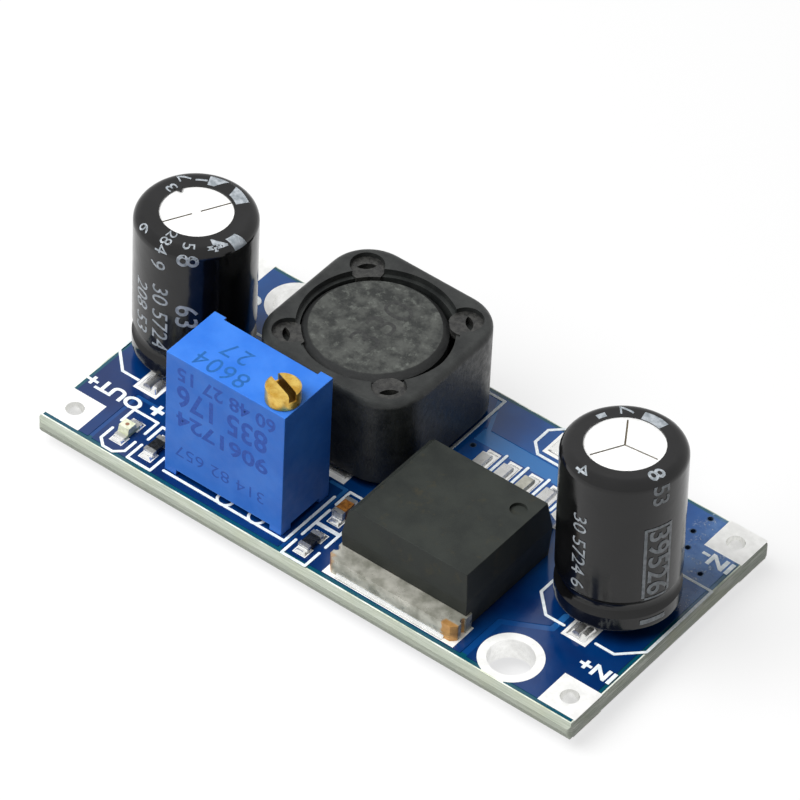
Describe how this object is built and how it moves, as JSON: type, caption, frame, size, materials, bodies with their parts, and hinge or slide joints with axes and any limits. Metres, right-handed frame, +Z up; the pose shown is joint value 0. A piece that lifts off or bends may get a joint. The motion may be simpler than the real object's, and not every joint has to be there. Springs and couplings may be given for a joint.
{
  "type": "buck converter module",
  "caption": "Small rectangular circuit board with tall round capacitors, a square shielded inductor, a flat tabbed regulator and a blue trimmer whose brass screw turns.",
  "frame": {"origin": "centre of the two-hole mounting pattern on the underside of the board", "axes": "+X along the board from the input end to the output end, +Y towards the edge with the positive terminals and the trimmer, +Z up out of the board, along the mounting holes"},
  "size_m": [0.043, 0.021, 0.0157],
  "materials": {
    "laminate": "satin",
    "lacquer": "gloss",
    "ink": "matte",
    "tinned": "satin",
    "via_metal": "satin",
    "solder": "gloss",
    "moulding": "matte",
    "ferrite": "satin",
    "drum_ferrite": "satin",
    "copper_wire": "gloss",
    "base_plastic": "matte",
    "glue": "gloss",
    "blue_plastic": "satin",
    "potting": "gloss",
    "white_ceramic": "matte",
    "rubber": "matte",
    "brass": "gloss",
    "carriage_plastic": "satin",
    "spring_metal": "gloss",
    "can_aluminium": "satin",
    "sleeve": "gloss",
    "led_plate": "matte",
    "lens": "gloss",
    "resistor_body": "gloss",
    "capacitor_ceramic": "satin"
  },
  "bodies": {
    "module": {"laminate": "laminate", "mask_top": "lacquer", "mask_bottom": "lacquer", "silkscreen": "ink", "terminal_in_plus": "tinned", "terminal_in_minus": "tinned", "terminal_out_plus": "tinned", "terminal_out_minus": "tinned", "mounting_lands": "tinned", "solder_pads": "tinned", "vias": "via_metal", "solder_fillets": "solder", "regulator_body": "moulding", "regulator_tab": "tinned", "regulator_leads": "tinned", "inductor_shield": "ferrite", "inductor_drum": "drum_ferrite", "inductor_winding": "copper_wire", "inductor_base": "base_plastic", "inductor_terminals": "tinned", "inductor_glue": "glue", "trimmer_housing": "blue_plastic", "trimmer_plug": "potting", "trimmer_element": "white_ceramic", "trimmer_pins": "tinned", "trimmer_seal": "rubber", "pin_solder": "solder", "input_cap_can": "can_aluminium", "input_cap_sleeve": "sleeve", "input_cap_seal": "rubber", "input_cap_leads": "tinned", "output_cap_can": "can_aluminium", "output_cap_sleeve": "sleeve", "output_cap_seal": "rubber", "output_cap_leads": "tinned", "diode_body": "moulding", "diode_leads": "tinned", "led_carrier": "led_plate", "led_lens": "lens", "led_ends": "tinned", "led_resistor": "resistor_body", "led_resistor_ends": "tinned", "feedback_resistor": "resistor_body", "feedback_resistor_ends": "tinned", "chip_capacitor": "capacitor_ceramic", "chip_capacitor_ends": "tinned"},
    "screw": {"trimmer_screw": "brass"},
    "wiper": {"trimmer_carriage": "carriage_plastic", "trimmer_contact": "spring_metal"}
  },
  "joints": [
    {"name": "wiper_travel", "type": "slide", "parent": "module", "child": "wiper", "axis": [0, 0, 1], "range_m": [-0.0025, 0.0025]},
    {"name": "trimmer_screw", "type": "hinge", "parent": "module", "child": "screw", "pos_m": [0.00372, 0.00781, 0.0118], "axis": [0, 0, 1], "range_deg": [-4509, 4509]}
  ],
  "couplings": [
    {"joint": "trimmer_screw", "follows": "wiper_travel", "rad_per_m": -31416}
  ]
}
